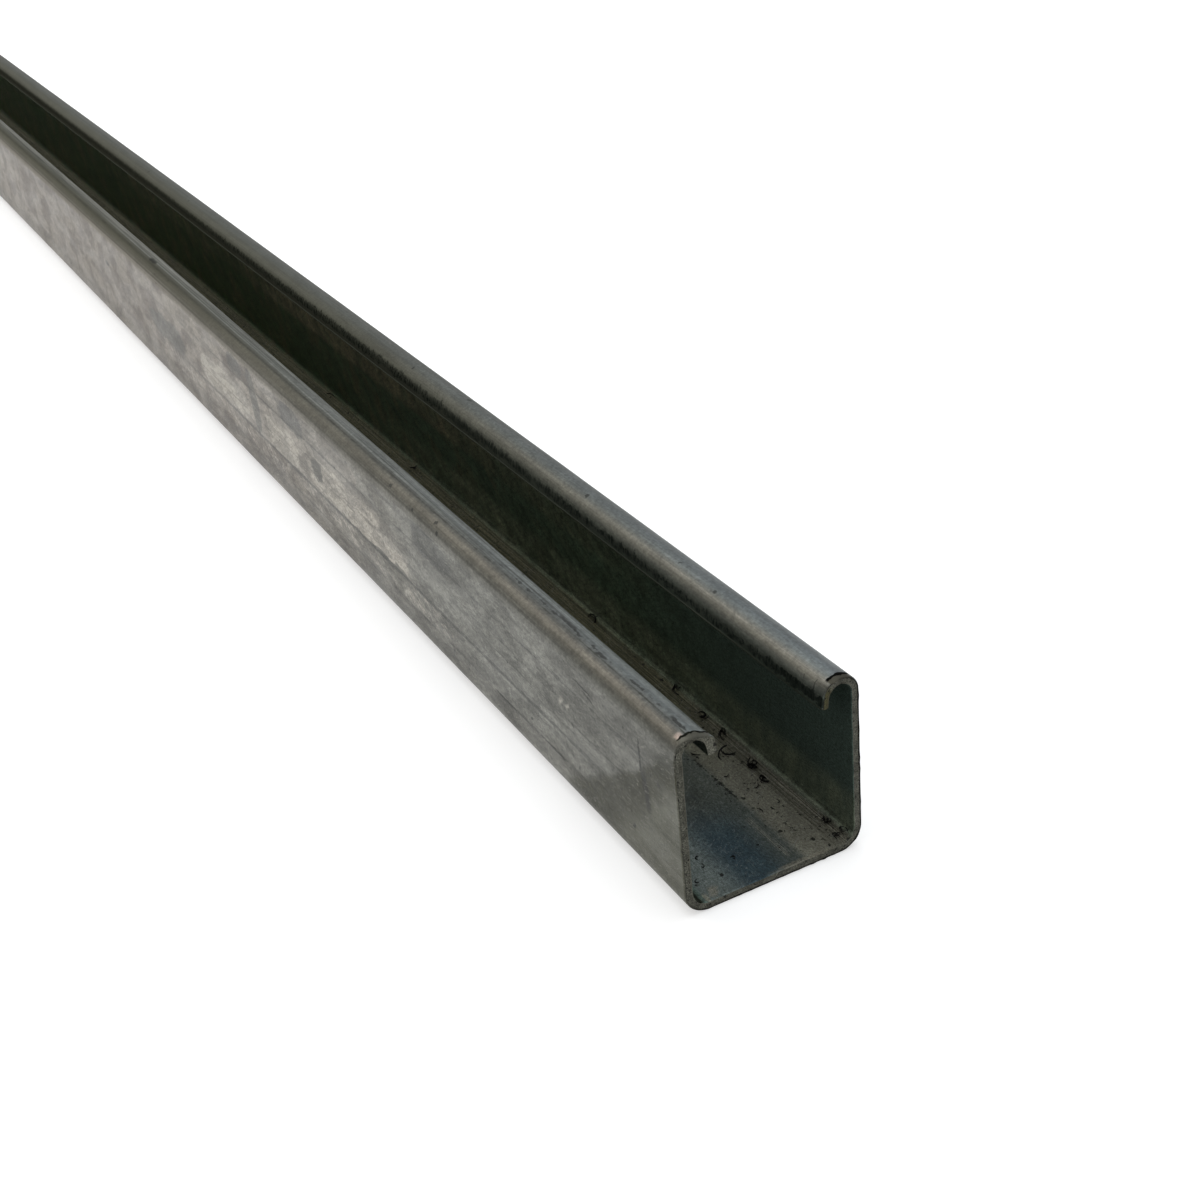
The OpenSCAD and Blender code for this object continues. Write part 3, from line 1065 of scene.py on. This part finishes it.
def on_the_web(along, across, height):
    """Points at a height over the inner skin, from strip coordinates taken from the near cut and the
    web's middle: the skin's own point, moved square to the strip."""
    place = strip_length / 2 + across
    skin = steel(place, -1, stations[0] + along)
    heading = np.interp(place, around, strip_heading)
    return skin + height[..., None] * np.stack([-np.sin(heading), 0 * heading, np.cos(heading)], axis=-1)


def tube_faces(count, steps, sides):
    """Quads of many closed tubes stored one after another, and a cap of one polygon on each end."""
    index = np.arange(count * steps * sides).reshape(count, steps, sides)
    beside = np.roll(index, -1, axis=2)
    quads = np.stack([index[:, :-1], index[:, 1:], beside[:, 1:], beside[:, :-1]], axis=-1).reshape(-1, 4)
    return quads.tolist() + index[:, 0, :].tolist() + index[:, -1, ::-1].tolist()


swarf_points = on_the_web(*curl_points(chips))
swarf_mesh = bpy.data.meshes.new("saw_swarf")
swarf_mesh.from_pydata(swarf_points.reshape(-1, 3), [], tube_faces(len(chips), curl_steps, ring_points))
work = bmesh.new()
work.from_mesh(swarf_mesh)
bmesh.ops.recalc_face_normals(work, faces=work.faces)
work.to_mesh(swarf_mesh)
work.free()
saw_swarf = shown("saw_swarf", swarf_mesh)


def oily_swarf():
    """Steel swarf under black oil and dust: nearly black, with brown and grey patches."""
    material, shader = new_finish("oily_swarf")
    place = scaled(put("TexCoord", tree=shader.id_data).outputs["Object"], 1 / MM)
    mottle = use(zinc_mottle, Place=place, Patch_size=1.5, Feather_size=0.5, Grit_size=0.4)
    colour = mix(fade(mottle["Patches"], 0.4, 0.65), tone(3, 3, 2), tone(11, 10, 8))
    feed(shader, Base_Color=scaled(colour, swing(mottle["Grit"], 0.8)),
         Roughness=blend(mottle["Patches"], 0.35, 0.7), Specular_IOR_Level=0.12,
         Normal=bump(mottle["Grit"], 0.1 * MM))
    return material


swarf_mesh.materials.append(oily_swarf())
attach(saw_swarf, "root")


# ---- The floor, the light and the camera ---------------------------------------------------------
# A wide white floor in a white room, under two soft lamps: a warm one low behind on the left, and a
# cool one overhead. The eye looks down on the near cut from the left, along the slot.

floor_reach = 12.0
floor_mesh = bpy.data.meshes.new("floor")
corners = floor_reach * np.array([(-1, -1), (1, -1), (1, 1), (-1, 1)])
floor_mesh.from_pydata(np.column_stack([corners, np.full(4, low.z)]), [], [(0, 1, 2, 3)])
floor = shown("floor", floor_mesh)


def seen_directly(tree):
    """1 for the eye and for reflections and views through glass, 0 for light on a dull surface."""
    rays = put("LightPath", tree=tree).outputs
    direct = maths("MAXIMUM", rays["Is Camera Ray"], rays["Is Glossy Ray"])
    return maths("MAXIMUM", direct, rays["Is Transmission Ray"])


floor_lift = 0.5
room_level = 0.5

floor_white = bpy.data.materials.new("floor_white")
floor_white.use_nodes = True
tree = floor_white.node_tree
tree.nodes.clear()
grit = noise(put("TexCoord", tree=tree).outputs["Object"], 3.0)
lit = put("BsdfDiffuse", Color=mix(grit, tone(212, 212, 212), tone(216, 216, 216))).outputs[0]
lift = put("Emission", Color=(1, 1, 1, 1), Strength=times(seen_directly(tree), floor_lift))
put("OutputMaterial", Surface=put("AddShader", _0=lit, _1=lift.outputs[0]).outputs[0])
floor_mesh.materials.append(floor_white)

world = bpy.data.worlds.new("white_room")
bpy.context.scene.world = world
world.use_nodes = True
tree = world.node_tree
tree.nodes.clear()
room = put("Background", Color=(1, 1, 1, 1), Strength=blend(seen_directly(tree), room_level, 1.0))
put("OutputWorld", Surface=room.outputs[0])

near_cut = Vector(((low.x + high.x) / 2, low.y, low.z))


def facing(place, aim):
    """Where a lamp or the eye stands, and its turn towards its aim, both given from the near cut."""
    turn = (Vector(aim) - Vector(place)).to_track_quat("-Z", "Y").to_matrix().to_4x4()
    return Matrix.Translation(near_cut + Vector(place)) @ turn


def lamp(name, place, aim, size, watts, colour):
    """A square soft lamp at a place, facing its aim."""
    data = bpy.data.lights.new(name, "AREA")
    data.size = size
    data.energy = watts
    data.color = colour
    shown(name, data).matrix_world = facing(place, aim)


lamp("overhead", (0.2, 0.6, 2.0), (0, 0.5, 0), 2.2, 30, (0.93, 0.97, 1.0))
lamp("low_left", (-1.1, 1.9, 1.1), (0, 0.5, 0), 1.2, 12, (1.0, 0.93, 0.84))

camera_data = bpy.data.cameras.new("eye")
camera_data.lens = 52.9
camera_data.sensor_width = 36
eye = shown("eye", camera_data)
eye_place = (-0.14473, -0.23434, 0.22066)
floor_aim = (0.02555, 0.12035, 0)
eye_roll = np.radians(-5.82)
eye.matrix_world = facing(eye_place, floor_aim) @ Matrix.Rotation(eye_roll, 4, "Z")
bpy.context.scene.camera = eye
bpy.context.scene.view_settings.view_transform = "Standard"
